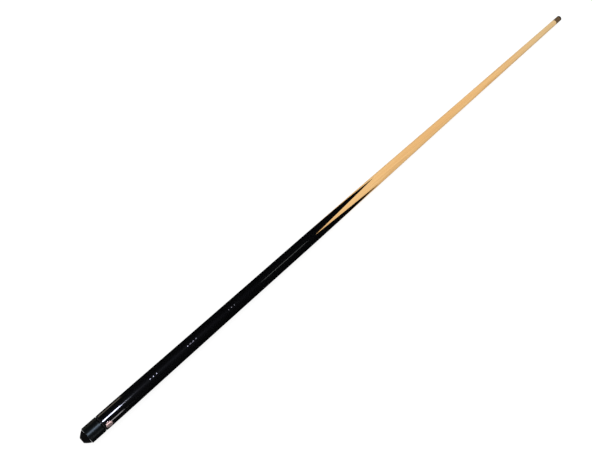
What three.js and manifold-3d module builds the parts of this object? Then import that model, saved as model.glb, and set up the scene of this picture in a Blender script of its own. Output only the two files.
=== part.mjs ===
// One-piece pool cue with a four-point full splice, a weight bolt and a screwed-on rubber bumper.
//
// Millimetres, +Z up. Each piece is drawn along the cue's own axis: x is 0 at the butt end and grows
// towards the tip. The group at the end lays the cue on z = 0 with its middle over the origin.
// A direction round the cue is an angle above the horizontal, measured on the -Y side.
import * as THREE from 'three';
import { mergeVertices } from 'three/addons/utils/BufferGeometryUtils.js';
import Module from 'manifold-3d';

const wasm = await Module();
wasm.setup();

// ---------------------------------------------------------------- driving dimensions
const CUE_LENGTH = 1448;
const SIDES = 48;
const SMALL_SIDES = 24;
const PEG_SIDES = 16;
const ARC_STEPS = 4;
const SEAT_GAP = 0.15;

const BUTT_RADIUS = 15.5;
const TIP_RADIUS = 6.3;
const EDGE_ROUND = 0.8;

const BUMPER = { depth: 10.7, radius: 14.2, flatRadius: 5.5, shankRadius: 7.5, shankEnd: 24.5 };
const BUMPER_BELLY = { x: 4.2, radius: 10.3 };
const RECESS = { radius: 4.4, depth: 15 };
const SCREW = { radius: 1.75, headRadius: 3.5, headHeight: 2.2, tipX: 46, pointLength: 4 };
const CROSS_SLOT = { length: 3.8, width: 0.9, depth: 1.4 };
const WASHER = { outerRadius: 4.1, thickness: 1, clearance: 0.35 };

const CAP = { startX: 10.9, endX: 40.3, faceThickness: 4.5, wall: 4 };
const SHANK_BORE_END = 25.5;
const SHANK_CLEARANCE = 0.3;
const WEIGHT_BORE = { radius: 6.5, endX: 138 };
const PLUG = { endX: 52, pilotEndX: 49, pilotClearance: 0.2 };
const WEIGHT_BOLT = { startX: 54, length: 80, radius: 6.2, chamfer: 0.8 };
const HEX_SOCKET = { acrossFlats: 8, depth: 8 };

const SPLICE = { pointX: 566, prongX: 754, angle: 62, glueGap: 0.1 };
const FERRULE = { startX: 1424, length: 17.6, radius: 6.35, endWall: 1.6, tenonRadius: 4 };
const PAD_THICKNESS = 0.8;
const TIP_CROWN_RISE = 2;

const BADGE = { x: 49.6, angle: 25, radius: 6.3, thickness: 1.1, proud: 0.15 };
const BADGE_RIM = { width: 0.7, height: 0.25 };
const MARK_ANGLE = 73;
const MARK = { depth: 1, proud: 0.03 };
const DOT_RADIUS = 1.15;
const LOZENGE = { halfLength: 1.9, halfWidth: 1.35 };
const DOT_GROUPS = [{ centreX: 155.1, pitch: 7.1 }, { centreX: 341.8, pitch: 7.1 }];
const LOZENGE_GROUP = { centreX: 244.4, pitch: 6.7 };
const DOTS_PER_GROUP = 3;
const LOZENGES = 4;

// Diameter of the wood along the cue: nearly straight at the grip, a slow taper in the butt,
// a quicker one through the splice, and a nearly straight one in the shaft.
const TAPER = [
  [CAP.endX, 31],
  [86, 30.8],
  [160, 29.8],
  [348, 27.9],
  [560, 26.5],
  [760, 23.2],
  [983, 18.8],
  [1258, 15],
  [FERRULE.startX, 2 * FERRULE.radius],
];

// ---------------------------------------------------------------- colours
const FINISH = {
  maple: { color: 0xe8bb78, roughness: 0.45, metalness: 0 },
  lacquer: { color: 0x08080b, roughness: 0.08, metalness: 0 },
  cap: { color: 0x16191c, roughness: 0.5, metalness: 0 },
  rubber: { color: 0x151515, roughness: 0.8, metalness: 0 },
  ferrule: { color: 0x3a2c22, roughness: 0.4, metalness: 0 },
  fibre: { color: 0x6b2a20, roughness: 0.7, metalness: 0 },
  leather: { color: 0x15120f, roughness: 0.85, metalness: 0 },
  badge: { color: 0xc98f7c, roughness: 0.25, metalness: 1 },
  pearl: { color: 0xb9b9bb, roughness: 0.3, metalness: 0 },
  steel: { color: 0x9a9ca0, roughness: 0.35, metalness: 1 },
  dowel: { color: 0xc9a06a, roughness: 0.7, metalness: 0 },
};

// ---------------------------------------------------------------- helpers
const cue = new THREE.Group();

function piece(name, finish, geometry) {
  const mesh = new THREE.Mesh(geometry, new THREE.MeshStandardMaterial(FINISH[finish]));
  mesh.name = name;
  cue.add(mesh);
}

// Radius of the wood at x, straight between the stations of the taper.
function radiusAt(x) {
  const next = TAPER.findIndex(([station]) => station >= x);
  const [x0, d0] = TAPER[Math.max(next - 1, 0)];
  const [x1, d1] = TAPER[Math.max(next, 1)];
  return THREE.MathUtils.mapLinear(x, x0, x1, d0, d1) / 2;
}

// Stations of the wood's surface between two places along the cue, as [x, radius].
function surface(startX, endX) {
  const inner = TAPER.map(([x]) => x).filter((x) => x > startX && x < endX);
  return [startX, ...inner, endX].map((x) => [x, radiusAt(x)]);
}

// Quarter round between two directions, in degrees, about a centre given as x and radius.
function arc(centreX, centreRadius, size, from, to) {
  return Array.from({ length: ARC_STEPS + 1 }, (_, i) => {
    const angle = THREE.MathUtils.degToRad(THREE.MathUtils.lerp(from, to, i / ARC_STEPS));
    return [centreX + size * Math.cos(angle), centreRadius + size * Math.sin(angle)];
  });
}

// Solid of revolution about the cue's axis from [x, radius] points.
function turned(profile, sides = SIDES) {
  const points = profile.map(([x, radius]) => new THREE.Vector2(radius, x));
  return new THREE.LatheGeometry(points, sides).rotateZ(-Math.PI / 2);
}

// Turned solid with a hole along it: the profile closes on itself.
function turnedRing(profile, sides = SIDES) {
  return turned([...profile, profile[0]], sides);
}

// Turns a shape that stands along +Z to point out of the cue at an angle, and moves it to x.
function aim(geometry, x, angle) {
  const tilt = Math.PI / 2 - THREE.MathUtils.degToRad(angle);
  return geometry.rotateX(tilt).translate(x, 0, 0);
}

// Round or many-sided peg that stands along +Z between two distances from the cue's axis.
function peg(radius, inner, outer, sides) {
  const geometry = new THREE.CylinderGeometry(radius, radius, outer - inner, sides);
  return geometry.rotateX(Math.PI / 2).translate(0, 0, (inner + outer) / 2);
}

function solid(geometry) {
  const bare = geometry.clone();
  bare.deleteAttribute('normal');
  bare.deleteAttribute('uv');
  const merged = mergeVertices(bare);
  const mesh = new wasm.Mesh({
    numProp: 3,
    vertProperties: new Float32Array(merged.attributes.position.array),
    triVerts: new Uint32Array(merged.index.array),
  });
  return new wasm.Manifold(mesh);
}

function cut(body, ...tools) {
  return tools.reduce((left, tool) => left.subtract(solid(tool)), body);
}

function geometryOf(body) {
  const mesh = body.getMesh();
  const geometry = new THREE.BufferGeometry();
  geometry.setAttribute('position', new THREE.BufferAttribute(mesh.vertProperties, mesh.numProp));
  geometry.setIndex(new THREE.BufferAttribute(mesh.triVerts, 1));
  geometry.computeVertexNormals();
  return geometry;
}

// ---------------------------------------------------------------- splice
// One blade of the splice, cut straight through the cue. It starts as a sharp edge where the maple
// points begin, is as wide as the prongs leave it where they end, and is everything beyond that.
function spliceBlade(shift, quarterTurns) {
  const reach = 2 * BUTT_RADIUS;
  const halfWidth = radiusAt(SPLICE.prongX) / Math.SQRT2;
  const outline = new THREE.Shape();
  outline.moveTo(SPLICE.pointX, 0);
  outline.lineTo(SPLICE.prongX, -halfWidth);
  outline.lineTo(SPLICE.prongX, -reach);
  outline.lineTo(CUE_LENGTH, -reach);
  outline.lineTo(CUE_LENGTH, reach);
  outline.lineTo(SPLICE.prongX, reach);
  outline.lineTo(SPLICE.prongX, halfWidth);
  outline.closePath();
  const blade = new THREE.ExtrudeGeometry(outline, { depth: 2 * reach, bevelEnabled: false });
  return aim(blade.translate(0, 0, -reach), -shift, SPLICE.angle + 90 * quarterTurns);
}

// How far the black wood's cut is moved towards the butt, so that a glue line is left at the slope.
function spliceShift() {
  const slope = radiusAt(SPLICE.prongX) / Math.SQRT2 / (SPLICE.prongX - SPLICE.pointX);
  return SPLICE.glueGap / slope;
}

// ---------------------------------------------------------------- butt end
function rubberBumper() {
  const side = new THREE.QuadraticBezierCurve(
    new THREE.Vector2(0, BUMPER.flatRadius),
    new THREE.Vector2(BUMPER_BELLY.x, BUMPER_BELLY.radius),
    new THREE.Vector2(BUMPER.depth, BUMPER.radius),
  );
  const seat = RECESS.depth + WASHER.thickness + SEAT_GAP;
  piece('rubber_bumper', 'rubber', turnedRing([
    [0, RECESS.radius],
    ...side.getPoints(2 * ARC_STEPS).map((point) => [point.x, point.y]),
    [BUMPER.depth, BUMPER.shankRadius],
    [BUMPER.shankEnd, BUMPER.shankRadius],
    [BUMPER.shankEnd, SCREW.radius + WASHER.clearance],
    [seat, SCREW.radius + WASHER.clearance],
    [seat, RECESS.radius],
  ]));
}

function bumperWasher() {
  const hole = SCREW.radius + WASHER.clearance;
  piece('bumper_washer', 'steel', turnedRing([
    [RECESS.depth, WASHER.outerRadius],
    [RECESS.depth + WASHER.thickness, WASHER.outerRadius],
    [RECESS.depth + WASHER.thickness, hole],
    [RECESS.depth, hole],
  ], SMALL_SIDES));
}

// Pan-head screw with a cross slot. Its head sits on the washer and its point is in the plug.
function bumperScrew() {
  const underHead = RECESS.depth - SEAT_GAP;
  const top = underHead - SCREW.headHeight;
  const blank = solid(turned([
    [top, 0],
    ...arc(top + SCREW.headHeight, SCREW.headRadius - SCREW.headHeight, SCREW.headHeight, 180, 90),
    [underHead, SCREW.radius],
    [SCREW.tipX - SCREW.pointLength, SCREW.radius],
    [SCREW.tipX, 0],
  ], SMALL_SIDES));
  const bar = () => new THREE.BoxGeometry(2 * CROSS_SLOT.depth, CROSS_SLOT.width, CROSS_SLOT.length);
  const slots = [0, 90].map((angle) => aim(bar(), top, angle));
  piece('bumper_screw', 'steel', geometryOf(cut(blank, ...slots)));
}

// Plastic sleeve over the butt's tenon. Its end face has a hole for the bumper's shank.
function buttCap() {
  const hole = BUMPER.shankRadius + SHANK_CLEARANCE;
  const tenonSeat = CAP.startX + CAP.faceThickness;
  const mouth = CAP.endX - SEAT_GAP;
  piece('butt_cap', 'cap', turnedRing([
    ...arc(CAP.startX + EDGE_ROUND, BUTT_RADIUS - EDGE_ROUND, EDGE_ROUND, 180, 90),
    ...arc(mouth - EDGE_ROUND, BUTT_RADIUS - EDGE_ROUND, EDGE_ROUND, 90, 0),
    [mouth, BUTT_RADIUS - CAP.wall],
    [tenonSeat, BUTT_RADIUS - CAP.wall],
    [tenonSeat, hole],
    [CAP.startX, hole],
  ]));
}

// Hardwood dowel that closes the weight bore and takes the bumper screw.
function borePlug() {
  const radius = WEIGHT_BORE.radius - SEAT_GAP;
  const pilot = SCREW.radius + PLUG.pilotClearance;
  const start = SHANK_BORE_END + SEAT_GAP;
  piece('bore_plug', 'dowel', turned([
    [PLUG.pilotEndX, 0],
    [PLUG.pilotEndX, pilot],
    [start, pilot],
    [start, radius],
    [PLUG.endX, radius],
    [PLUG.endX, 0],
  ], SMALL_SIDES));
}

// Steel stud that sets the cue's weight. Its hex socket faces the butt end.
function weightBolt() {
  const { startX, length, radius, chamfer } = WEIGHT_BOLT;
  const endX = startX + length;
  const blank = solid(turned([
    [startX, 0],
    [startX, radius - chamfer],
    [startX + chamfer, radius],
    [endX - chamfer, radius],
    [endX, radius - chamfer],
    [endX, 0],
  ], SMALL_SIDES));
  const cornerRadius = HEX_SOCKET.acrossFlats / Math.sqrt(3);
  const hex = new THREE.CylinderGeometry(cornerRadius, cornerRadius, 2 * HEX_SOCKET.depth, 6);
  piece('weight_bolt', 'steel', geometryOf(cut(blank, hex.rotateZ(Math.PI / 2).translate(startX, 0, 0))));
}

// ---------------------------------------------------------------- badge and marks
// Curved plate that follows the butt's surface, between two heights above it.
function curvedPlate(radius, low, high) {
  const reach = 2 * BADGE.radius;
  const ring = [BADGE.x - reach, BADGE.x + reach].map((x) => [x, radiusAt(x)]);
  const shell = turnedRing([
    ...ring.map(([x, r]) => [x, r + high]),
    ...ring.reverse().map(([x, r]) => [x, r + low]),
  ], 2 * SIDES);
  const disc = aim(peg(radius, BUTT_RADIUS / 2, 2 * BUTT_RADIUS, SMALL_SIDES), BADGE.x, BADGE.angle);
  return solid(shell).intersect(solid(disc));
}

// Blank round badge: a raised rim round a plain field.
function badge() {
  const { radius, thickness, proud } = BADGE;
  const plate = curvedPlate(radius, -thickness, proud);
  const field = curvedPlate(radius - BADGE_RIM.width, proud - BADGE_RIM.height, 2 * proud);
  piece('badge', 'badge', geometryOf(plate.subtract(field)));
}

function badgePocket() {
  return curvedPlate(BADGE.radius + SEAT_GAP, -BADGE.thickness - SEAT_GAP, BUTT_RADIUS);
}

// Places of count marks, evenly spaced about the middle of their group.
function spread({ centreX, pitch }, count) {
  return Array.from({ length: count }, (_, i) => centreX + pitch * (i - (count - 1) / 2));
}

function dotPeg(x, inner, outer, extra) {
  return aim(peg(DOT_RADIUS + extra, inner, outer, PEG_SIDES), x, MARK_ANGLE);
}

function lozengePeg(x, inner, outer, extra) {
  const widthRatio = (LOZENGE.halfWidth + extra) / (LOZENGE.halfLength + extra);
  const diamond = peg(LOZENGE.halfLength + extra, inner, outer, 4);
  return aim(diamond.scale(1, widthRatio, 1), x, MARK_ANGLE);
}

const MARKS = [
  ...DOT_GROUPS.flatMap((group) => spread(group, DOTS_PER_GROUP))
    .map((x, i) => ({ name: `dot_mark_${i + 1}`, x, shape: dotPeg })),
  ...spread(LOZENGE_GROUP, LOZENGES)
    .map((x, i) => ({ name: `lozenge_mark_${i + 1}`, x, shape: lozengePeg })),
];

// Each mark is let into the black wood, its face level with the lacquer.
function marks() {
  for (const { name, x, shape } of MARKS) {
    const top = radiusAt(x) + MARK.proud;
    piece(name, 'pearl', shape(x, top - MARK.depth, top, 0));
  }
}

function markPockets() {
  return MARKS.map(({ x, shape }) => {
    const floor = radiusAt(x) - MARK.depth - SEAT_GAP;
    return shape(x, floor, BUTT_RADIUS + 1, SEAT_GAP);
  });
}

// ---------------------------------------------------------------- wood
// Black butt: a tenon for the cap, the shank and weight bores, and four prongs over the maple.
function butt() {
  const tenonX = CAP.startX + CAP.faceThickness + SEAT_GAP;
  const shoulderX = CAP.endX + SEAT_GAP;
  const shankBore = BUMPER.shankRadius + SHANK_CLEARANCE;
  const shoulderRadius = radiusAt(shoulderX + EDGE_ROUND) - EDGE_ROUND;
  const blank = solid(turned([
    [WEIGHT_BORE.endX, 0],
    [WEIGHT_BORE.endX, WEIGHT_BORE.radius],
    [SHANK_BORE_END, WEIGHT_BORE.radius],
    [SHANK_BORE_END, shankBore],
    [tenonX, shankBore],
    [tenonX, BUTT_RADIUS - CAP.wall - SEAT_GAP],
    [shoulderX, BUTT_RADIUS - CAP.wall - SEAT_GAP],
    ...arc(shoulderX + EDGE_ROUND, shoulderRadius, EDGE_ROUND, 180, 90),
    ...surface(shoulderX + 2 * EDGE_ROUND, FERRULE.startX),
    [FERRULE.startX, 0],
  ]));
  const shift = spliceShift();
  const carved = cut(blank, spliceBlade(shift, 0), spliceBlade(shift, 1), ...markPockets());
  piece('butt', 'lacquer', geometryOf(carved.subtract(badgePocket())));
}

// Maple shaft: four points in the butt's prongs, and a tenon for the ferrule.
function mapleShaft() {
  const shoulderX = FERRULE.startX - SEAT_GAP;
  const tenonEnd = FERRULE.startX + FERRULE.length - FERRULE.endWall - SEAT_GAP;
  const blank = solid(turned([
    [CAP.endX, 0],
    ...surface(CAP.endX, shoulderX),
    [shoulderX, FERRULE.tenonRadius],
    [tenonEnd, FERRULE.tenonRadius],
    [tenonEnd, 0],
  ]));
  const blades = solid(spliceBlade(0, 0)).add(solid(spliceBlade(0, 1)));
  piece('maple_shaft', 'maple', geometryOf(blank.intersect(blades)));
}

// ---------------------------------------------------------------- tip end
function ferrule() {
  const { startX, length, radius, endWall, tenonRadius } = FERRULE;
  const bore = tenonRadius + SEAT_GAP;
  const bottom = startX + length - endWall;
  piece('ferrule', 'ferrule', turned([
    [bottom, 0],
    [bottom, bore],
    [startX, bore],
    [startX, radius],
    [startX + length, TIP_RADIUS],
    [startX + length, 0],
  ]));
}

function tipPad() {
  const startX = FERRULE.startX + FERRULE.length + SEAT_GAP;
  piece('tip_pad', 'fibre', turned([
    [startX, 0],
    [startX, TIP_RADIUS],
    [startX + PAD_THICKNESS, TIP_RADIUS],
    [startX + PAD_THICKNESS, 0],
  ]));
}

// Leather tip: a short straight side and a domed crown that ends the cue.
function leatherTip() {
  const startX = FERRULE.startX + FERRULE.length + PAD_THICKNESS + 2 * SEAT_GAP;
  const crownRadius = (TIP_RADIUS ** 2 + TIP_CROWN_RISE ** 2) / (2 * TIP_CROWN_RISE);
  const halfAngle = THREE.MathUtils.radToDeg(Math.asin(TIP_RADIUS / crownRadius));
  piece('leather_tip', 'leather', turned([
    [startX, 0],
    [startX, TIP_RADIUS],
    ...arc(CUE_LENGTH - crownRadius, 0, crownRadius, halfAngle, 0),
  ]));
}

// ---------------------------------------------------------------- assembly
rubberBumper();
bumperWasher();
bumperScrew();
buttCap();
borePlug();
weightBolt();
badge();
marks();
butt();
mapleShaft();
ferrule();
tipPad();
leatherTip();

cue.position.set(-CUE_LENGTH / 2, 0, BUTT_RADIUS);

export default cue;
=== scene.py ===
import math

import bmesh
import bpy
from mathutils import Matrix, Vector
from mathutils.bvhtree import BVHTree


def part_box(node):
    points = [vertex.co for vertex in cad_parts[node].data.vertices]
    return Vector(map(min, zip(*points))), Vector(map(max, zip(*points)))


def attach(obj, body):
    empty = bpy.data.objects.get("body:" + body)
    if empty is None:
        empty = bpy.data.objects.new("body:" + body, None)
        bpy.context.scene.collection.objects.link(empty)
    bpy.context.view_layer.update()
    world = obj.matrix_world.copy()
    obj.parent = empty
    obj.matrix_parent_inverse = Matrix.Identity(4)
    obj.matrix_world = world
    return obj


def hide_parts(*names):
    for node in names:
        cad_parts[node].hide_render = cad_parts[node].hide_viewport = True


# One-piece pool cue: fine turned and spliced surfaces, procedural materials, a white studio and a camera,
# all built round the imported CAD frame. Metres. Along the cue, x is 0 at the butt end and grows towards
# the tip; an angle round the cue is measured above the horizontal, on the -Y side.
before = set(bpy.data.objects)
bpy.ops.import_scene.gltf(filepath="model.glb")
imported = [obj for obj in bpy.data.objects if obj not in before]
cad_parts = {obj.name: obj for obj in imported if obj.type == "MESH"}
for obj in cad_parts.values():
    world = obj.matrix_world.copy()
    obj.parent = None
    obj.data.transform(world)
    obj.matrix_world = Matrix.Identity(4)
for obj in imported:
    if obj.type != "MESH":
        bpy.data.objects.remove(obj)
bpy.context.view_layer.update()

MM = 0.001
TINY = 1e-7
SKIN = 100 * TINY

# ---------------------------------------------------------------- sizes of the fine surfaces
ROUND = 128
QUADRANT = ROUND // 4
STATION = 6 * MM
SHARP_ANGLE = math.radians(32)
OUTSIDE_FACING = 0.95
FILLET_STEPS = 8
SUPPORT = 0.2 * MM

SMOOTHING_STEPS = 4
TAPER_SMOOTHING = 30 * MM
BUMPER_SMOOTHING = 1.2 * MM
CAP_EDGE = 0.9 * MM
BUMPER_EDGE = 0.7 * MM
SHOULDER_EDGE = 0.6 * MM
SHOULDER_SLOPE = (4.4 * MM, 0.4 * MM)
FERRULE_EDGE = 0.15 * MM
PAD_EDGE = 0.12 * MM
WASHER_EDGE = 0.15 * MM
TIP_EDGE = 0.5 * MM
TIP_CROWN_RISE = 2 * MM
GLUE_LINE = 0.03 * MM

INLAY_DEPTH = 0.5 * MM
INLAY_PROUD = 0.02 * MM
INLAY_CLEARANCE = 0.04 * MM
INLAY_EDGE = 0.12 * MM
POCKET_HEIGHT = 1 * MM
SMALLEST_LOOP = 0.01
BADGE_PROUD = 0.14 * MM
BADGE_RIM = 0.75 * MM
BADGE_FIELD_EDGE = 1.25 * BADGE_RIM
BADGE_FIELD_DEPTH = 0.16 * MM
BADGE_FIELD_STEPS = 6
BADGE_FIELD_DOME = 0.04 * MM
BADGE_RIM_STEPS = 10
INLAY_SIDES = 64
LOZENGE_POWER = 1.25
THREAD_PITCH = 1.6 * MM
THREAD_DEPTH = 0.42 * MM
THREAD_FLANK = 1.6
THREAD_STEPS = 10
SCREW_SIDES = 48
HEAD_EDGE = 1.6 * MM
RECESS_LENGTH = 3.6 * MM
RECESS_WIDTH = 0.8 * MM
RECESS_DEPTH = 1.4 * MM
RECESS_FLARE = 1.8
RECESS_TAPER = 0.45
CROWN_STEPS = 12

# ---------------------------------------------------------------- colours
MAPLE_LIGHT = (0.81, 0.5, 0.202, 1)
MAPLE_WARM = (0.75, 0.435, 0.16, 1)
MAPLE_PALE = (0.68, 0.49, 0.24, 1)
MAPLE_LINE = (0.58, 0.305, 0.108, 1)
MAPLE_FLECK = (0.44, 0.225, 0.076, 1)
MAPLE_TURN = math.radians(35)
MAPLE_PALING = 1.1
LACQUER_BLACK = (0.001, 0.001, 0.0013, 1)
LACQUER_PORE = (0.004, 0.0036, 0.0036, 1)
CAP_BLACK = (0.0014, 0.0018, 0.002, 1)
CAP_SCUFF = (0.008, 0.009, 0.0095, 1)
CAP_GLOSS = (0.82, 1.0, 0.98, 1)
RUBBER_BLACK = (0.0012, 0.0012, 0.0011, 1)
RUBBER_BLOOM = (0.003, 0.003, 0.0028, 1)
FERRULE_DARK = (0.1, 0.06, 0.027, 1)
FERRULE_BROWN = (0.148, 0.092, 0.042, 1)
FIBRE_DARK = (0.03, 0.014, 0.01, 1)
FIBRE_RED = (0.07, 0.03, 0.02, 1)
LEATHER_BLACK = (0.008, 0.007, 0.006, 1)
LEATHER_BROWN = (0.022, 0.016, 0.012, 1)
LEATHER_CHALK = (0.05, 0.06, 0.075, 1)
BADGE_ROSE = (0.84, 0.66, 0.66, 1)
BADGE_COPPER = (0.66, 0.44, 0.4, 1)
PEARL_GREY = (0.17, 0.175, 0.185, 1)
PEARL_LIGHT = (0.28, 0.285, 0.3, 1)
PEARL_ROSE = (0.25, 0.22, 0.235, 1)
STEEL_LIGHT = (0.62, 0.63, 0.65, 1)
STEEL_DARK = (0.42, 0.43, 0.45, 1)
DOWEL_LIGHT = (0.72, 0.5, 0.28, 1)
DOWEL_DARK = (0.5, 0.31, 0.15, 1)

# ---------------------------------------------------------------- studio and camera
STUDIO_WHITE = (1, 1, 1, 1)
STUDIO_STRENGTH = 1.2
BOUNCE_STRENGTH = 0.45
BOUNCE_EDGE = 0.3
FLOOR_MATTE = (0.2, 0.2, 0.2, 1)
FLOOR_GLOW = 0.85
SKY_DARK = (0.006, 0.006, 0.007, 1)
SKY_BRIGHT = (0.6, 0.6, 0.62, 1)
SKY_EDGE = (-0.5, -0.03)
FLOOR_REACH = 12
BALANCE_SHARE = 0.33
# Each light: name, x from the butt end, angle round the cue, distance, (length, width), radiance, colour.
LIGHTS = [
    ("key_window", 0.069, 74.2, 1.3, (0.186, 0.3), 56, (0.73, 0.77, 1.0)),
    ("key_fade", 0.18, 74.2, 1.3, (0.05, 0.3), 2.5, (0.8, 0.84, 1.0)),
    ("mark_glow", 0.36, 78, 1.3, (0.4, 0.3), 0.05, (0.9, 0.93, 1.0)),
    ("side_window", 0.09, 5, 1.0, (0.1, 0.22), 6, (1.0, 0.97, 1.0)),
    ("back_glow", 0.08, 170, 1.2, (0.18, 0.45), 1.3, (1.0, 0.86, 0.68)),
    ("far_glow", 0.96, 64.5, 1.3, (0.235, 0.1), 3, (0.95, 1.0, 0.98)),
]
# Where the camera stands from the butt end of the axis, and how it looks down on the cue.
CAMERA_OFFSET = (12.1 * MM, -492.5 * MM, 1204.5 * MM)
CAMERA_AZIMUTH = -45.7
CAMERA_ELEVATION = 57.55
LENS = 43.18
SENSOR = 36

# ---------------------------------------------------------------- measuring the frame
START_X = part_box("rubber_bumper")[0].x
AXIS_Z = (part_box("butt_cap")[0].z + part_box("butt_cap")[1].z) / 2
FAR = 60 * MM
NUDGE = 0.4 * MM
# A faceted CAD piece has a corner at each quarter turn, and there it reaches its true radius.
CORNER = math.radians(90.1)
QUARTER_TURNS = [CORNER + math.radians(90) * i for i in range(4)]


def spot(x, radius, angle):
    """Point of the row frame at x from the butt end and at radius from the cue's axis."""
    return Vector((START_X + x, -radius * math.cos(angle), AXIS_Z + radius * math.sin(angle)))


def tree_of(node):
    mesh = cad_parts[node].data
    corners = [vertex.co for vertex in mesh.vertices]
    return BVHTree.FromPolygons(corners, [tuple(face.vertices) for face in mesh.polygons])


TREES = {name: tree_of(name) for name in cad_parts}


def ends(node):
    """First and last x of a CAD node."""
    low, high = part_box(node)
    return low.x - START_X, high.x - START_X


def distance_from_axis(point):
    return math.hypot(point.y, point.z - AXIS_Z)


def outer_radius(nodes, x):
    """Largest radius of some CAD nodes at x, by rays from outside towards the axis."""
    found = [0]
    for node in nodes:
        for angle in QUARTER_TURNS:
            outside = spot(x, FAR, angle)
            hit = TREES[node].ray_cast(outside, spot(x, 0, angle) - outside, FAR)[0]
            found.append(distance_from_axis(hit) if hit else 0)
    return max(found)


def bore_radius(node, x):
    """Radius of the hole along a CAD node at x, by a ray from the axis outwards."""
    hit = TREES[node].ray_cast(spot(x, 0, 0), spot(0, 1, CORNER) - spot(0, 0, 0), FAR)[0]
    return distance_from_axis(hit)


def face_along(node, x, radius, step):
    """x of the first face of a CAD node that is met from x, at a radius, going along the cue by step."""
    hit = TREES[node].ray_cast(spot(x, radius, CORNER), Vector((step, 0, 0)))[0]
    return hit.x - START_X


def even(start, end, size):
    """Places from start to end, evenly spaced and no further apart than size."""
    count = max(1, math.ceil((end - start) / size))
    return [start + (end - start) * i / count for i in range(count + 1)]


def smooth_radius(nodes, x, start, end, reach):
    """Outer radius at x, averaged over reach on both sides, and exact at the two ends."""
    reach = min(reach, x - start, end - x)
    steps = range(-SMOOTHING_STEPS, SMOOTHING_STEPS + 1)
    places = [x + reach * i / SMOOTHING_STEPS for i in steps]
    return sum(outer_radius(nodes, place) for place in places) / len(places)


CAP_START, CAP_END = ends("butt_cap")
BUTT_START, PRONG_END = ends("butt")
SPLICE_START, SHAFT_END = ends("maple_shaft")
FERRULE_START, FERRULE_END = ends("ferrule")
WOOD_START = CAP_END + NUDGE
WOOD = ("butt", "maple_shaft")
WOOD_STATIONS = even(WOOD_START, FERRULE_START - NUDGE, STATION / 2)
# The CAD shoulder is rounded, so the taper is measured from just past its edge.
TAPER_START = WOOD_START + 3 * NUDGE
WOOD_RADII = [
    smooth_radius(WOOD, max(x, TAPER_START), TAPER_START, WOOD_STATIONS[-1], TAPER_SMOOTHING)
    for x in WOOD_STATIONS
]


def wood_radius(x):
    """Radius of the finished wood at x, between its measured stations."""
    step = WOOD_STATIONS[1] - WOOD_STATIONS[0]
    last = len(WOOD_STATIONS) - 1
    place = min(max((x - WOOD_START) / step, 0), last)
    index = min(int(place), last - 1)
    share = place - index
    return WOOD_RADII[index] * (1 - share) + WOOD_RADII[index + 1] * share


def angle_of(point):
    return math.atan2(point.z - AXIS_Z, -point.y)


def corners_of(node):
    return [vertex.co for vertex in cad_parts[node].data.vertices]


def middle(node):
    """Middle of a CAD node that sits on one side, as x along the cue and angle round it."""
    corners = corners_of(node)
    return sum(ends(node)) / 2, angle_of(sum(corners, Vector()) / len(corners))


def splice_angle():
    """Direction of one maple point: the outermost corners where the shaft's blades start."""
    first = [co for co in corners_of("maple_shaft") if co.x - START_X < SPLICE_START + NUDGE]
    return angle_of(max(first, key=distance_from_axis)) % math.radians(90)


SPLICE_ANGLE = splice_angle()
FULL_BLADE = wood_radius(PRONG_END) / math.sqrt(2)


# ---------------------------------------------------------------- mesh helpers
def ring(bm, x, radius, angles):
    """One point for each angle, or the same axis point for all of them where the radius is 0."""
    if radius < TINY:
        return [bm.verts.new(spot(x, 0, 0))] * len(angles)
    return [bm.verts.new(spot(x, radius, angle)) for angle in angles]


def bridge(bm, first, second):
    """Faces between two closed loops of as many points. Where points coincide, faces lose corners."""
    for i in range(len(first)):
        corners = (first[i - 1], first[i], second[i], second[i - 1])
        distinct = list(dict.fromkeys(corners))
        if len(distinct) > 2:
            bm.faces.new(distinct)


def bridge_all(bm, loops):
    for first, second in zip(loops, loops[1:]):
        bridge(bm, first, second)


def new_piece(name, bm):
    bmesh.ops.recalc_face_normals(bm, faces=bm.faces)
    mesh = bpy.data.meshes.new(name)
    bm.to_mesh(mesh)
    bm.free()
    mesh.shade_smooth()
    mesh.set_sharp_from_angle(angle=SHARP_ANGLE)
    piece = bpy.data.objects.new(name, mesh)
    bpy.context.scene.collection.objects.link(piece)
    return piece


def rounded(corners):
    """Profile from (x, radius, rounding) corners of a closed outline, with arcs at the rounded ones."""
    profile = []
    for i, (x, radius, rounding) in enumerate(corners):
        here = Vector((x, radius))
        if not rounding:
            profile.append(here)
            continue
        back = (Vector(corners[i - 1][:2]) - here).normalized()
        ahead = (Vector(corners[(i + 1) % len(corners)][:2]) - here).normalized()
        half = back.angle(ahead) / 2
        centre = here + (back + ahead).normalized() * rounding / math.sin(half)
        start = here + back * rounding / math.tan(half) - centre
        end = here + ahead * rounding / math.tan(half) - centre
        sweep = start.angle(end)
        for step in range(FILLET_STEPS + 1):
            share = sweep * step / FILLET_STEPS
            arm = start * math.sin(sweep - share) + end * math.sin(share)
            profile.append(centre + arm / math.sin(sweep))
    return profile


def supported(profile):
    """Adds a point near both ends of each long line, so that an arc beside it doesn't bend its shading."""
    points = [profile[0]]
    for start, end in zip(profile, profile[1:]):
        line = Vector(end) - Vector(start)
        if line.length > 4 * SUPPORT:
            points.append(Vector(start) + line.normalized() * SUPPORT)
            points.append(Vector(end) - line.normalized() * SUPPORT)
        points.append(end)
    return points


def turned(name, profile, sides=ROUND):
    """Turned piece from (x, radius) points. A profile that isn't on the axis closes on itself."""
    bm = bmesh.new()
    angles = [math.tau * i / sides for i in range(sides)]
    closed = profile[0][1] > TINY
    points = supported([*profile, profile[0]] if closed else profile)
    loops = [ring(bm, x, radius, angles) for x, radius in (points[:-1] if closed else points)]
    bridge_all(bm, loops + loops[:1] if closed else loops)
    return new_piece(name, bm)


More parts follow.
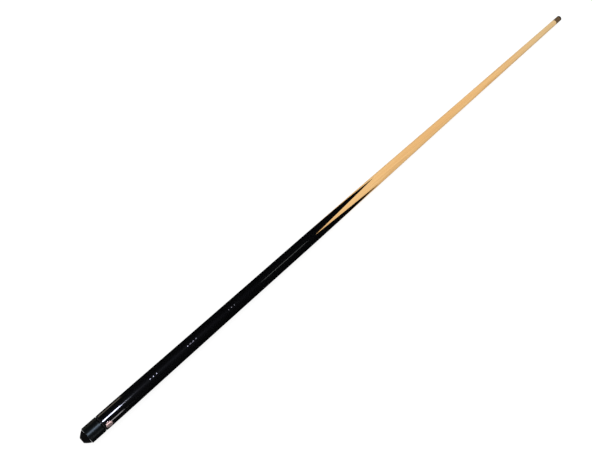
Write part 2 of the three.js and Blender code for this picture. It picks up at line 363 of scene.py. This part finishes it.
def settle(piece, material, slot, body, *nodes):
    """Gives a piece its material, hangs it on a CAD body and hides the nodes it stands for. The slot
    argument is not used.
    """
    piece.data.materials.clear()
    piece.data.materials.append(material)
    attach(piece, body)
    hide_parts(*nodes)


# ---------------------------------------------------------------- splice
def blade_half_width(x):
    """Half the thickness of a maple blade at x: 0 where the points start, full where the prongs end."""
    share = (x - SPLICE_START) / (PRONG_END - SPLICE_START)
    return FULL_BLADE * min(max(share, 0), 1)


def opening(x, half_width):
    """Angle from a blade's middle to its edge on the surface, at most an eighth of a turn."""
    return min(math.asin(min(half_width / wood_radius(x), 1)), math.radians(45))


def prong_loop(bm, x, quarter):
    """Section of one black prong: an arc between two blades and the corner where they meet."""
    half_width = blade_half_width(x) + GLUE_LINE / 2
    margin = opening(x, half_width)
    start = SPLICE_ANGLE + math.radians(90) * quarter
    span = math.radians(90) - 2 * margin
    arc = [start + margin + span * j / QUADRANT for j in range(QUADRANT + 1)]
    corner = spot(x, half_width * math.sqrt(2), start + math.radians(45))
    return ring(bm, x, wood_radius(x), arc) + [bm.verts.new(corner)]


def blades_loop(bm, x):
    """Section of the four maple blades: four arcs, with a corner between each two."""
    half_width = max(blade_half_width(x) - GLUE_LINE / 2, TINY)
    margin = opening(x, half_width)
    loop = []
    for quarter in range(4):
        start = SPLICE_ANGLE + math.radians(90) * quarter
        arc = [start + margin * (2 * j / QUADRANT - 1) for j in range(QUADRANT + 1)]
        corner = spot(x, half_width * math.sqrt(2), start + math.radians(45))
        loop += ring(bm, x, wood_radius(x), arc) + [bm.verts.new(corner)]
    return loop


def butt_profile():
    """The butt's turned part: weight bore, shank bore, tenon, shoulder and the outside up to the splice."""
    shank_bore = bore_radius("butt", BUTT_START + NUDGE)
    weight_bore = bore_radius("butt", ends("bore_plug")[1] + NUDGE)
    step_x = face_along("butt", BUTT_START - NUDGE, (shank_bore + weight_bore) / 2, 1)
    bore_end = face_along("butt", ends("weight_bolt")[1] + NUDGE, 0, 1)
    tenon = outer_radius(["butt"], BUTT_START + NUDGE)
    shoulder = face_along("butt", CAP_END - NUDGE, tenon + NUDGE, 1)
    slope_length, drop = SHOULDER_SLOPE
    full = shoulder + slope_length
    corners = [
        (bore_end, weight_bore, 0),
        (step_x, weight_bore, 0),
        (step_x, shank_bore, 0),
        (BUTT_START, shank_bore, 0),
        (BUTT_START, tenon, 0),
        (shoulder, tenon, 0),
        (shoulder, wood_radius(shoulder) - drop, SHOULDER_EDGE),
        (full, wood_radius(full), 2 * SHOULDER_EDGE),
        (full + STATION / 2, wood_radius(full + STATION / 2), 0),
    ]
    outside = even(full + STATION / 2, SPLICE_START, STATION)[1:]
    return [(bore_end, 0)] + rounded(corners) + [(x, wood_radius(x)) for x in outside]


def spliced_butt():
    bm = bmesh.new()
    angles = [SPLICE_ANGLE + math.tau * i / ROUND for i in range(ROUND)]
    loops = [ring(bm, x, radius, angles) for x, radius in butt_profile()]
    bridge_all(bm, loops)
    throat = bm.verts.new(spot(SPLICE_START, 0, 0))
    last = loops[-1]
    stations = even(SPLICE_START, PRONG_END - GLUE_LINE, STATION / 2)[1:-1]
    for quarter in range(4):
        arc = [last[(quarter * QUADRANT + j) % ROUND] for j in range(QUADRANT + 1)]
        sections = [arc + [throat]] + [prong_loop(bm, x, quarter) for x in stations]
        middle_angle = SPLICE_ANGLE + math.radians(90 * quarter + 45)
        tip = bm.verts.new(spot(PRONG_END - GLUE_LINE, wood_radius(PRONG_END), middle_angle))
        bridge_all(bm, sections + [[tip] * len(sections[0])])
    return new_piece("spliced_butt", bm)


def turned_shaft():
    bm = bmesh.new()
    start_ring = ring(bm, SPLICE_START, wood_radius(SPLICE_START), [
        SPLICE_ANGLE + math.radians(90) * quarter for quarter in range(4)])
    throat = bm.verts.new(spot(SPLICE_START, 0, 0))
    first = [vertex for point in start_ring for vertex in [point] * (QUADRANT + 1) + [throat]]
    blades = [blades_loop(bm, x) for x in even(SPLICE_START, PRONG_END, STATION / 2)[1:-1]]
    angles = [SPLICE_ANGLE + math.radians(45) * (2 * i / QUADRANT - 1) for i in range(ROUND)]
    full = ring(bm, PRONG_END, wood_radius(PRONG_END), angles)
    joined = []
    for quarter in range(4):
        arc = [full[(quarter * QUADRANT + j) % ROUND] for j in range(QUADRANT + 1)]
        joined += arc + [arc[-1]]
    bridge_all(bm, [first] + blades + [joined])
    tenon = outer_radius(["maple_shaft"], SHAFT_END - NUDGE)
    shoulder = FERRULE_START - INLAY_CLEARANCE
    profile = [(x, wood_radius(x)) for x in even(PRONG_END, shoulder, STATION)[1:]]
    profile += [(shoulder, tenon), (SHAFT_END, tenon), (SHAFT_END, 0)]
    bridge_all(bm, [full] + [ring(bm, x, radius, angles) for x, radius in profile])
    return new_piece("turned_shaft", bm)


def exact_normals(piece):
    """Shades the outside of a wooden piece as the true tapered round, whatever its faces are cut into."""
    mesh = piece.data
    normals = [Vector((0, 0, 0))] * len(mesh.loops)
    for face in mesh.polygons:
        for index in face.loop_indices:
            point = mesh.vertices[mesh.loops[index].vertex_index].co
            x = point.x - START_X
            radius = wood_radius(x)
            slope = (wood_radius(x + STATION / 2) - wood_radius(x - STATION / 2)) / STATION
            outward = Vector((0, point.y, point.z - AXIS_Z)).normalized()
            on_surface = abs(distance_from_axis(point) - radius) < INLAY_CLEARANCE
            if on_surface and face.normal.dot(outward) > OUTSIDE_FACING:
                normals[index] = (outward - Vector((slope, 0, 0))).normalized()
    mesh.normals_split_custom_set(normals)


# ---------------------------------------------------------------- inlays
def circle(turn):
    return math.cos(turn), math.sin(turn)


def lozenge(turn):
    """Unit outline of a diamond with softened corners."""
    along, across = circle(turn)
    size = (abs(along) ** LOZENGE_POWER + abs(across) ** LOZENGE_POWER) ** (1 / LOZENGE_POWER)
    return along / size, across / size


def inlay_size(node):
    """Half the length along the cue and half the width across it of a CAD inlay."""
    x, angle = middle(node)
    start, end = ends(node)
    sideways = Vector((0, math.sin(angle), math.cos(angle)))
    centre = spot(x, 0, 0)
    return (end - start) / 2, max(abs((co - centre).dot(sideways)) for co in corners_of(node))


def inlay(name, node, outline, layers, sides=INLAY_SIDES):
    """Plate along the lacquer's surface, over a CAD inlay. A layer is (inset from the edge, height)."""
    x, angle = middle(node)
    half_length, half_width = inlay_size(node)
    bm = bmesh.new()
    loops = []
    for inset, height in layers:
        size = max(1 - inset / half_width, SMALLEST_LOOP)
        loop = []
        for i in range(sides):
            along, across = outline(math.tau * i / sides)
            place = x + along * half_length * size
            radius = wood_radius(place)
            turn = math.asin(across * half_width * size / radius)
            loop.append(bm.verts.new(spot(place, radius + height, angle + turn)))
        loops.append(loop)
    bridge_all(bm, loops)
    bm.faces.new(loops[0])
    bm.faces.new(loops[-1])
    return new_piece(name, bm)


def spaced(full, count):
    """Insets from the edge of a plate to near its middle."""
    return [full * (count - i) / (count + 1) for i in range(count)]


def plain_layers(half_width):
    """A flat inlay with a softened edge, from the middle of its face round to the middle of its back."""
    face = [(inset, INLAY_PROUD) for inset in [half_width] + spaced(half_width, 3)]
    edge = [(INLAY_EDGE, INLAY_PROUD), (INLAY_EDGE / 4, INLAY_PROUD * 0.7), (0, 0)]
    return face + edge + [(0, -INLAY_DEPTH), (half_width, -INLAY_DEPTH)]


def badge_layers(half_width):
    """A disc with a raised round rim and a slightly domed plain field."""
    floor_height = BADGE_PROUD - BADGE_FIELD_DEPTH
    field_radius = half_width - BADGE_FIELD_EDGE
    field = []
    steps = spaced(field_radius, BADGE_FIELD_STEPS)
    for inset in [half_width] + [BADGE_FIELD_EDGE + step for step in steps]:
        share = (half_width - inset) / field_radius
        field.append((inset, floor_height + BADGE_FIELD_DOME * (1 - share ** 2)))
    rim = []
    for step in range(BADGE_RIM_STEPS + 1):
        turn = math.pi * step / BADGE_RIM_STEPS
        inset = BADGE_RIM * (0.5 + 0.5 * math.cos(turn))
        rim.append((inset, floor_height + BADGE_FIELD_DEPTH * math.sin(turn)))
    return field + [(BADGE_FIELD_EDGE, floor_height)] + rim + [(0, -INLAY_DEPTH), (half_width, -INLAY_DEPTH)]


def pocket(node, outline):
    """What a pocket for an inlay takes out of the wood."""
    depth = -INLAY_DEPTH - INLAY_CLEARANCE
    half_width = inlay_size(node)[1]
    rim = -INLAY_CLEARANCE
    layers = [(half_width, POCKET_HEIGHT), (rim, POCKET_HEIGHT), (rim, depth), (half_width, depth)]
    return inlay("pocket_" + node, node, outline, layers)


def cut(piece, cutters):
    """Cuts other objects out of a piece for good, and removes them."""
    for cutter in cutters:
        modifier = piece.modifiers.new(cutter.name, "BOOLEAN")
        modifier.object = cutter
        modifier.solver = "EXACT"
    evaluated = piece.evaluated_get(bpy.context.evaluated_depsgraph_get())
    mesh = bpy.data.meshes.new_from_object(evaluated)
    piece.modifiers.clear()
    piece.data = mesh
    mesh.shade_smooth()
    mesh.set_sharp_from_angle(angle=SHARP_ANGLE)
    for cutter in cutters:
        bpy.data.objects.remove(cutter)


# ---------------------------------------------------------------- butt end
def cap_sleeve():
    """Moulded cap over the tenon, with rounded edges and the hole for the bumper's shank."""
    radius = outer_radius(["butt_cap"], (CAP_START + CAP_END) / 2)
    hole = bore_radius("butt_cap", CAP_START + NUDGE)
    seat_radius = bore_radius("butt_cap", CAP_END - NUDGE)
    seat = face_along("butt_cap", CAP_END, (hole + seat_radius) / 2, -1)
    return turned("cap_sleeve", rounded([
        (CAP_START, hole, CAP_EDGE / 2),
        (CAP_START, radius, CAP_EDGE),
        (CAP_END, radius, 2 * CAP_EDGE),
        (CAP_END, seat_radius, 0),
        (seat, seat_radius, 0),
        (seat, hole, 0),
    ]))


def bumper_moulding():
    """Rubber bumper: a flat ring round the screw recess, a swelling side, a flange and the shank."""
    node = "rubber_bumper"
    start, end = ends(node)
    recess = bore_radius(node, start + NUDGE)
    screw_hole = bore_radius(node, end - NUDGE)
    shank = outer_radius([node], end - NUDGE)
    seat = face_along(node, start, (recess + screw_hole) / 2, 1)
    flange = face_along(node, end - NUDGE, shank + NUDGE, -1)
    side = [
        (x, smooth_radius([node], x, start + SKIN, flange - SKIN, BUMPER_SMOOTHING), 0)
        for x in even(start + 2 * BUMPER_EDGE, flange - BUMPER_EDGE, BUMPER_EDGE)
    ]
    return turned("bumper_moulding", rounded([
        (start, recess, BUMPER_EDGE / 2),
        (start, outer_radius([node], start + SKIN), BUMPER_EDGE),
        *side,
        (flange, outer_radius([node], flange - SKIN), BUMPER_EDGE / 2),
        (flange, shank, 0),
        (end, shank, BUMPER_EDGE),
        (end, screw_hole, 0),
        (seat, screw_hole, 0),
        (seat, recess, 0),
    ]))


def washer_ring():
    start, end = ends("bumper_washer")
    inner = bore_radius("bumper_washer", (start + end) / 2)
    outer = outer_radius(["bumper_washer"], (start + end) / 2)
    corners = [(start, inner), (start, outer), (end, outer), (end, inner)]
    return turned("washer_ring", rounded([(x, radius, WASHER_EDGE) for x, radius in corners]))


def thread_radius(x, angle, crest):
    """Radius of a right-hand wood thread: sharp ridges with wide hollows between them."""
    phase = (x / THREAD_PITCH + angle / math.tau) % 1
    return crest - THREAD_DEPTH * min(1, THREAD_FLANK * abs(2 * phase - 1))


def bumper_screw():
    """Pan-head wood screw with a cross recess and a right-hand thread."""
    node = "bumper_screw"
    start, tip = ends(node)
    crest = outer_radius([node], (start + tip) / 2)
    under_head = face_along(node, (start + tip) / 2, crest + NUDGE / 2, -1)
    head = outer_radius([node], under_head - NUDGE / 4)
    point = 2 * face_along(node, tip, crest / 2, -1) - tip
    bm = bmesh.new()
    angles = [math.tau * i / SCREW_SIDES for i in range(SCREW_SIDES)]
    crown = rounded([(start, 0, 0), (start, head, HEAD_EDGE), (under_head, head, 0)])
    loops = [ring(bm, x, radius, angles) for x, radius in crown]
    loops.append(ring(bm, under_head, crest - THREAD_DEPTH, angles))
    for x in even(under_head + THREAD_PITCH, tip, THREAD_PITCH / THREAD_STEPS)[:-1]:
        share = min(1, (tip - x) / (tip - point))
        loops.append([
            bm.verts.new(spot(x, thread_radius(x, angle, crest) * share, angle)) for angle in angles])
    loops.append(ring(bm, tip, 0, angles))
    bridge_all(bm, loops)
    screw = new_piece("threaded_screw", bm)
    cut(screw, [recess_blade(start, angle) for angle in (0, math.radians(90))])
    return screw


def recess_blade(x, angle):
    """One blade of the cross recess, narrower and shorter at the bottom."""
    bm = bmesh.new()
    loops = []
    for depth, share in ((-RECESS_DEPTH, RECESS_FLARE), (RECESS_DEPTH, RECESS_TAPER)):
        loop = []
        for across, along in ((1, 1), (1, -1), (-1, -1), (-1, 1)):
            length = along * share * RECESS_LENGTH / 2
            width = across * share * RECESS_WIDTH / 2
            side = spot(x + depth, length, angle)
            loop.append(bm.verts.new(side + spot(0, width, angle + math.radians(90)) - spot(0, 0, 0)))
        loops.append(loop)
        bm.faces.new(loop)
    bridge(bm, *loops)
    return new_piece("recess_blade", bm)


# ---------------------------------------------------------------- tip end
def ferrule_sleeve():
    bore = bore_radius("ferrule", FERRULE_START + NUDGE)
    bottom = face_along("ferrule", FERRULE_START, 0, 1)
    return turned("ferrule_sleeve", [(bottom, 0)] + rounded([
        (bottom, bore, 0),
        (FERRULE_START, bore, 0),
        (FERRULE_START, outer_radius(["ferrule"], FERRULE_START + SKIN), FERRULE_EDGE),
        (FERRULE_END, outer_radius(["ferrule"], FERRULE_END - SKIN), FERRULE_EDGE),
        (FERRULE_END, 0, 0),
    ]))


def fibre_pad():
    start, end = ends("tip_pad")
    radius = outer_radius(["tip_pad"], (start + end) / 2)
    corners = [(start, 0, 0), (start, radius, PAD_EDGE), (end, radius, PAD_EDGE), (end, 0, 0)]
    return turned("fibre_pad", rounded(corners))


def crowned_tip():
    """Leather tip: a burnished side and a crown that is an arc of a circle."""
    start, end = ends("leather_tip")
    radius = outer_radius(["leather_tip"], start + NUDGE)
    crown_radius = (radius ** 2 + TIP_CROWN_RISE ** 2) / (2 * TIP_CROWN_RISE)
    sweep = math.asin(radius / crown_radius)
    crown = []
    for step in range(1, CROWN_STEPS + 1):
        turn = sweep * (1 - step / CROWN_STEPS)
        x = end - crown_radius * (1 - math.cos(turn))
        crown.append((x, crown_radius * math.sin(turn), 0))
    return turned("crowned_tip", rounded([
        (start, 0, 0),
        (start, radius, PAD_EDGE),
        (end - TIP_CROWN_RISE, radius, TIP_EDGE),
        *crown,
    ]))


# ---------------------------------------------------------------- material helpers
class Nodes:
    """A node tree, with short calls that add nodes and feed them."""

    def __init__(self, tree):
        self.tree = tree

    def feed(self, node, socket, value):
        if isinstance(value, bpy.types.NodeSocket):
            self.tree.links.new(value, node.inputs[socket])
        else:
            node.inputs[socket].default_value = value

    def node(self, kind, inputs, settings=()):
        made = self.tree.nodes.new("ShaderNode" + kind)
        for name, value in dict(settings).items():
            setattr(made, name, value)
        for socket, value in inputs.items():
            self.feed(made, socket, value)
        return made

    def remap(self, value, low, high, to_low=0.0, to_high=1.0, how="SMOOTHSTEP"):
        return self.node("MapRange", {
            "Value": value,
            "From Min": low,
            "From Max": high,
            "To Min": to_low,
            "To Max": to_high,
        }, {"interpolation_type": how}).outputs[0]

    def blend(self, share, first, second):
        return self.node("MixRGB", {"Fac": share, "Color1": first, "Color2": second}).outputs[0]


class Finish(Nodes):
    """A procedural material, with short calls for the patterns that feed its shader."""

    def __init__(self, name, settings):
        self.material = bpy.data.materials.new(name)
        self.material.use_nodes = True
        super().__init__(self.material.node_tree)
        self.shader = self.tree.nodes["Principled BSDF"]
        for socket, value in settings.items():
            self.feed(self.shader, socket, value)

    def place(self, size, turn=0, centre=(0, 0, 0)):
        """Object coordinates counted in features of a size along x, y and z, turned about the cue."""
        scale = [1 / length for length in size]
        moved = self.node("VectorMath", {
            0: self.node("TexCoord", {}).outputs["Object"],
            1: tuple(centre),
        }, {"operation": "SUBTRACT"})
        turned_round = self.node("VectorRotate", {
            "Vector": moved.outputs[0],
            "Angle": turn,
        }, {"rotation_type": "X_AXIS"})
        return self.node("Mapping", {"Vector": turned_round.outputs[0], "Scale": scale}).outputs[0]

    def noise(self, size, detail=2.0, turn=0, distortion=0.0):
        return self.node("TexNoise", {
            "Vector": self.place(size, turn),
            "Scale": 1.0,
            "Detail": detail,
            "Distortion": distortion,
        }).outputs["Fac"]

    def along(self, start, end):
        """0 to 1 along the cue between two distances from the butt end."""
        parts = self.node("SeparateXYZ", {"Vector": self.node("TexCoord", {}).outputs["Object"]})
        return self.remap(parts.outputs["X"], START_X + start, START_X + end)

    def bump(self, height, depth, normal=None):
        inputs = {"Height": height, "Distance": depth, "Strength": 1.0}
        if normal:
            inputs["Normal"] = normal
        return self.node("Bump", inputs).outputs[0]


def sizes(along, across):
    return along * MM, across * MM, across * MM


# ---------------------------------------------------------------- materials
def maple():
    """Straight-grained hard maple under a thin satin finish."""
    finish = Finish("maple", {"IOR": 1.45, "Specular IOR Level": 0.35})
    broad = finish.noise(sizes(260, 10), 2.0)
    layers = finish.noise((420 * MM, 1.5 * MM, 22 * MM), 3.0, MAPLE_TURN, 0.2)
    fibres = finish.noise(sizes(28, 0.32), 3.0)
    flecks = finish.noise(sizes(3.2, 0.16), 1.0, MAPLE_TURN)
    mixed = finish.blend(finish.remap(broad, 0.35, 0.65), MAPLE_LIGHT, MAPLE_WARM)
    ground = finish.blend(finish.along(MAPLE_PALING, SHAFT_END), mixed, MAPLE_PALE)
    dark_layers = finish.remap(layers, 0.52, 0.66)
    layered = finish.blend(dark_layers, ground, finish.blend(0.55, ground, MAPLE_LINE))
    fibred = finish.blend(finish.remap(fibres, 0.42, 0.7, 0.0, 0.32), layered, MAPLE_LINE)
    flecked = finish.blend(finish.remap(flecks, 0.66, 0.74, 0.0, 0.35), fibred, MAPLE_FLECK)
    finish.feed(finish.shader, "Base Color", flecked)
    finish.feed(finish.shader, "Roughness", finish.remap(fibres, 0.3, 0.7, 0.38, 0.5))
    finish.feed(finish.shader, "Normal", finish.bump(fibres, 0.006 * MM))
    return finish.material


def black_lacquer():
    """Black-dyed wood, its pores just visible, under a deep clear coat."""
    finish = Finish("black_lacquer", {
        "Roughness": 0.5,
        "Specular IOR Level": 0.05,
        "Coat Weight": 1.0,
        "Coat Roughness": 0.06,
        "Coat IOR": 1.5,
    })
    pores = finish.noise(sizes(7, 0.22), 2.0)
    open_pores = finish.remap(pores, 0.6, 0.72)
    finish.feed(finish.shader, "Base Color", finish.blend(open_pores, LACQUER_BLACK, LACQUER_PORE))
    finish.feed(finish.shader, "Normal", finish.bump(open_pores, -0.02 * MM))
    peel = finish.noise(sizes(2.6, 1.4), 1.0)
    finish.feed(finish.shader, "Coat Normal", finish.bump(peel, 0.0012 * MM))
    return finish.material


def cap_plastic():
    """Satin moulded plastic with fine turning marks and a few scuffs."""
    finish = Finish("cap_plastic", {"Specular IOR Level": 0.22, "Specular Tint": CAP_GLOSS, "IOR": 1.5})
    grain = finish.noise(sizes(0.3, 0.3), 2.0)
    turning = finish.noise((0.14 * MM, 40 * MM, 40 * MM), 1.0)
    scuffs = finish.remap(finish.noise(sizes(1.4, 7), 3.0, distortion=0.6), 0.62, 0.7)
    finish.feed(finish.shader, "Base Color", finish.blend(scuffs, CAP_BLACK, CAP_SCUFF))
    finish.feed(finish.shader, "Roughness", finish.remap(scuffs, 0.0, 1.0, 0.33, 0.42))
    surface = finish.bump(turning, 0.004 * MM)
    finish.feed(finish.shader, "Normal", finish.bump(grain, 0.004 * MM, surface))
    return finish.material


def bumper_rubber():
    """Matte black rubber, finely pitted, with a greyish bloom in places."""
    finish = Finish("bumper_rubber", {"Roughness": 0.6, "Specular IOR Level": 0.04})
    pits = finish.noise(sizes(0.35, 0.35), 3.0)
    bloom = finish.remap(finish.noise(sizes(4, 5), 3.0), 0.5, 0.75)
    finish.feed(finish.shader, "Base Color", finish.blend(bloom, RUBBER_BLACK, RUBBER_BLOOM))
    finish.feed(finish.shader, "Normal", finish.bump(pits, 0.03 * MM))
    return finish.material


def ferrule_plastic():
    """Brown-black ferrule material with a faint cloudy figure."""
    finish = Finish("ferrule_plastic", {"Roughness": 0.35, "Specular IOR Level": 0.5})
    cloud = finish.remap(finish.noise(sizes(9, 1.1), 3.0, distortion=0.3), 0.3, 0.7)
    fine = finish.noise(sizes(0.12, 6), 1.0)
    finish.feed(finish.shader, "Base Color", finish.blend(cloud, FERRULE_DARK, FERRULE_BROWN))
    finish.feed(finish.shader, "Normal", finish.bump(fine, 0.003 * MM))
    return finish.material


def fibre():
    """Dark vulcanised fibre, faintly layered."""
    finish = Finish("fibre", {"Roughness": 0.6})
    threads = finish.noise((0.1 * MM, 1.5 * MM, 1.5 * MM), 2.0)
    finish.feed(finish.shader, "Base Color", finish.blend(threads, FIBRE_DARK, FIBRE_RED))
    finish.feed(finish.shader, "Normal", finish.bump(threads, 0.02 * MM))
    return finish.material


def tip_leather():
    """Pressed leather: a burnished layered side and a scuffed, chalk-dulled crown."""
    finish = Finish("tip_leather", {"Specular IOR Level": 0.4})
    side_end = ends("leather_tip")[1] - TIP_CROWN_RISE
    crown = finish.along(side_end - 0.3 * MM, side_end + 0.3 * MM)
    nap = finish.noise(sizes(0.3, 0.3), 3.0)
    layers = finish.noise((0.18 * MM, 3 * MM, 3 * MM), 2.0)
    ground = finish.blend(nap, LEATHER_BLACK, LEATHER_BROWN)
    chalk = finish.remap(finish.noise(sizes(0.7, 0.7), 4.0), 0.5, 0.7, 0.0, 0.6)
    chalked = finish.blend(chalk, ground, LEATHER_CHALK)
    finish.feed(finish.shader, "Base Color", finish.blend(crown, ground, chalked))
    finish.feed(finish.shader, "Roughness", finish.remap(crown, 0.0, 1.0, 0.42, 0.9))
    side = finish.bump(layers, 0.015 * MM)
    finish.feed(finish.shader, "Normal", finish.bump(nap, 0.03 * MM, side))
    return finish.material


def badge_metal():
    """Rose-gold metal with a finish turned in fine rings about the badge's middle."""
    finish = Finish("badge_metal", {"Metallic": 0.8})
    x, angle = middle("badge")
    centre = spot(x, wood_radius(x), angle)
    offset = finish.place((MM, MM, MM), 0, centre)
    radius = finish.node("VectorMath", {0: offset}, {"operation": "LENGTH"}).outputs["Value"]
    rings = finish.node("TexNoise", {"W": radius, "Scale": 14.0, "Detail": 2.0}, {
        "noise_dimensions": "1D"}).outputs["Fac"]
    tone = finish.noise(sizes(3, 3), 3.0)
    finish.feed(finish.shader, "Base Color", finish.blend(tone, BADGE_ROSE, BADGE_COPPER))
    finish.feed(finish.shader, "Roughness", finish.remap(rings, 0.3, 0.7, 0.24, 0.34))
    finish.feed(finish.shader, "Normal", finish.bump(rings, 0.004 * MM))
    return finish.material


def pearl():
    """Silver-grey pearl: overlapping plates of slightly different tint."""
    finish = Finish("pearl", {"Metallic": 0.85, "Coat Weight": 0.6, "Coat Roughness": 0.1})
    plates = finish.node("TexVoronoi", {
        "Vector": finish.place(sizes(0.9, 0.9)), "Scale": 1.0}).outputs["Color"]
    tint = finish.node("SeparateColor", {"Color": plates}).outputs["Red"]
    silk = finish.noise(sizes(1.2, 0.3), 2.0, distortion=1.0)
    ground = finish.blend(silk, PEARL_GREY, PEARL_LIGHT)
    finish.feed(finish.shader, "Base Color", finish.blend(tint, ground, PEARL_ROSE))
    finish.feed(finish.shader, "Roughness", finish.remap(silk, 0.3, 0.7, 0.24, 0.4))
    return finish.material


def steel():
    """Zinc-plated steel, slightly mottled."""
    finish = Finish("steel", {"Metallic": 1.0})
    mottle = finish.noise(sizes(0.8, 0.8), 4.0)
    finish.feed(finish.shader, "Base Color", finish.blend(mottle, STEEL_LIGHT, STEEL_DARK))
    finish.feed(finish.shader, "Roughness", finish.remap(mottle, 0.3, 0.7, 0.26, 0.42))
    finish.feed(finish.shader, "Normal", finish.bump(mottle, 0.004 * MM))
    return finish.material


def dowel_wood():
    """Bare birch dowel with open straight grain."""
    finish = Finish("dowel_wood", {"Roughness": 0.7})
    grain = finish.noise(sizes(18, 0.5), 3.0)
    finish.feed(finish.shader, "Base Color", finish.blend(grain, DOWEL_LIGHT, DOWEL_DARK))
    finish.feed(finish.shader, "Normal", finish.bump(grain, 0.03 * MM))
    return finish.material


# ---------------------------------------------------------------- studio
def support():
    """Slope and height of the flat floor that the cue rests on, on both sides of its balance point."""
    places = even(CAP_START + CAP_EDGE, FERRULE_START - NUDGE, STATION)
    heights = [(x, AXIS_Z - max(outer_radius(["butt_cap"], x), wood_radius(x))) for x in places]
    balance = BALANCE_SHARE * ends("leather_tip")[1]
    pairs = [(low, high) for low in heights if low[0] < balance for high in heights if high[0] > balance]

    def height_at_balance(pair):
        (x0, z0), (x1, z1) = pair
        return z0 + (z1 - z0) * (balance - x0) / (x1 - x0)

    (x0, z0), (x1, z1) = min(pairs, key=height_at_balance)
    return (z1 - z0) / (x1 - x0), x0, z0


def floor():
    slope, x, z = support()
    bm = bmesh.new()
    corners = [(-1, -1), (1, -1), (1, 1), (-1, 1)]
    bm.faces.new([
        bm.verts.new((START_X + x + FLOOR_REACH * i, FLOOR_REACH * j, z + slope * FLOOR_REACH * i))
        for i, j in corners])
    plane = new_piece("studio_floor", bm)
    finish = Finish("floor_white", {
        "Base Color": FLOOR_MATTE,
        "Roughness": 1.0,
        "Specular IOR Level": 0.0,
        "Emission Color": STUDIO_WHITE,
        "Emission Strength": FLOOR_GLOW,
    })
    plane.data.materials.append(finish.material)
    plane.visible_glossy = False
    plane.visible_diffuse = False


def panel(name, x, angle, distance, size, radiance, colour):
    """Soft light that faces the cue's axis from a direction round it. size is (along, across) the cue."""
    data = bpy.data.lights.new(name, "AREA")
    data.shape = "RECTANGLE"
    data.size, data.size_y = size
    data.energy = radiance * math.pi * size[0] * size[1]
    data.color = colour
    light = bpy.data.objects.new(name, data)
    outward = spot(0, 1, math.radians(angle)) - spot(0, 0, 0)
    along = Vector((1, 0, 0))
    light.matrix_world = Matrix((along, outward.cross(along), outward)).transposed().to_4x4()
    light.location = spot(x, distance, math.radians(angle))
    light.visible_camera = False
    light.visible_diffuse = False
    bpy.context.scene.collection.objects.link(light)


def studio_world():
    """White for the floor and matte surfaces. Glossy ones see a dark room, bright to the -X side."""
    world = bpy.data.worlds.new("studio")
    bpy.context.scene.world = world
    world.cycles.sampling_method = "NONE"
    world.use_nodes = True
    studio = Nodes(world.node_tree)
    white = world.node_tree.nodes["Background"]
    output = world.node_tree.nodes["World Output"]
    ray = studio.node("TexCoord", {}).outputs["Generated"]
    direction = studio.node("SeparateXYZ", {"Vector": ray}).outputs
    studio.feed(white, "Color", STUDIO_WHITE)
    studio.feed(white, "Strength", studio.remap(
        direction["Z"], -BOUNCE_EDGE, 0, BOUNCE_STRENGTH, STUDIO_STRENGTH, "LINEAR"))
    room = studio.node("Background", {
        "Color": studio.blend(studio.remap(direction["X"], *SKY_EDGE), SKY_BRIGHT, SKY_DARK)})
    studio.feed(output, "Surface", studio.node("MixShader", {
        0: studio.node("LightPath", {}).outputs["Is Glossy Ray"],
        1: white.outputs[0],
        2: room.outputs[0],
    }).outputs[0])


def camera():
    data = bpy.data.cameras.new("camera")
    data.lens = LENS
    data.sensor_width = SENSOR
    made = bpy.data.objects.new("camera", data)
    made.location = spot(0, 0, 0) + Vector(CAMERA_OFFSET)
    made.rotation_euler = (math.radians(90 - CAMERA_ELEVATION), 0, math.radians(CAMERA_AZIMUTH))
    bpy.context.scene.collection.objects.link(made)
    bpy.context.scene.camera = made


# ---------------------------------------------------------------- assembly
LACQUER = black_lacquer()
MAPLE = maple()
STEEL = steel()
PEARL = pearl()
DOTS = [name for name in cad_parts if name.startswith("dot_mark")]
LOZENGES = [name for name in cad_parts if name.startswith("lozenge_mark")]

wood = spliced_butt()
pockets = [pocket(node, circle) for node in DOTS + ["badge"]]
pockets += [pocket(node, lozenge) for node in LOZENGES]
cut(wood, pockets)
exact_normals(wood)
settle(wood, LACQUER, "black_lacquer", "cue", "butt")

shaft = turned_shaft()
exact_normals(shaft)
settle(shaft, MAPLE, "maple", "cue", "maple_shaft")

for node in DOTS:
    dot = inlay("pearl_" + node, node, circle, plain_layers(inlay_size(node)[1]))
    settle(dot, PEARL, "pearl", "cue", node)
for node in LOZENGES:
    diamond = inlay("pearl_" + node, node, lozenge, plain_layers(inlay_size(node)[1]))
    settle(diamond, PEARL, "pearl", "cue", node)
disc = inlay("badge_disc", "badge", circle, badge_layers(inlay_size("badge")[1]), 2 * INLAY_SIDES)
settle(disc, badge_metal(), "badge_metal", "cue", "badge")

settle(cap_sleeve(), cap_plastic(), "cap_plastic", "cue", "butt_cap")
settle(bumper_moulding(), bumper_rubber(), "bumper_rubber", "bumper", "rubber_bumper")
settle(washer_ring(), STEEL, "steel", "bumper", "bumper_washer")
settle(bumper_screw(), STEEL, "steel", "bumper_screw", "bumper_screw")
settle(ferrule_sleeve(), ferrule_plastic(), "ferrule_plastic", "cue", "ferrule")
settle(fibre_pad(), fibre(), "fibre", "cue", "tip_pad")
settle(crowned_tip(), tip_leather(), "tip_leather", "cue", "leather_tip")
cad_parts["bore_plug"].material_slots[0].material = dowel_wood()
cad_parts["weight_bolt"].material_slots[0].material = STEEL

floor()
studio_world()
for light in LIGHTS:
    panel(*light)
camera()
bpy.context.scene.view_settings.view_transform = "Standard"
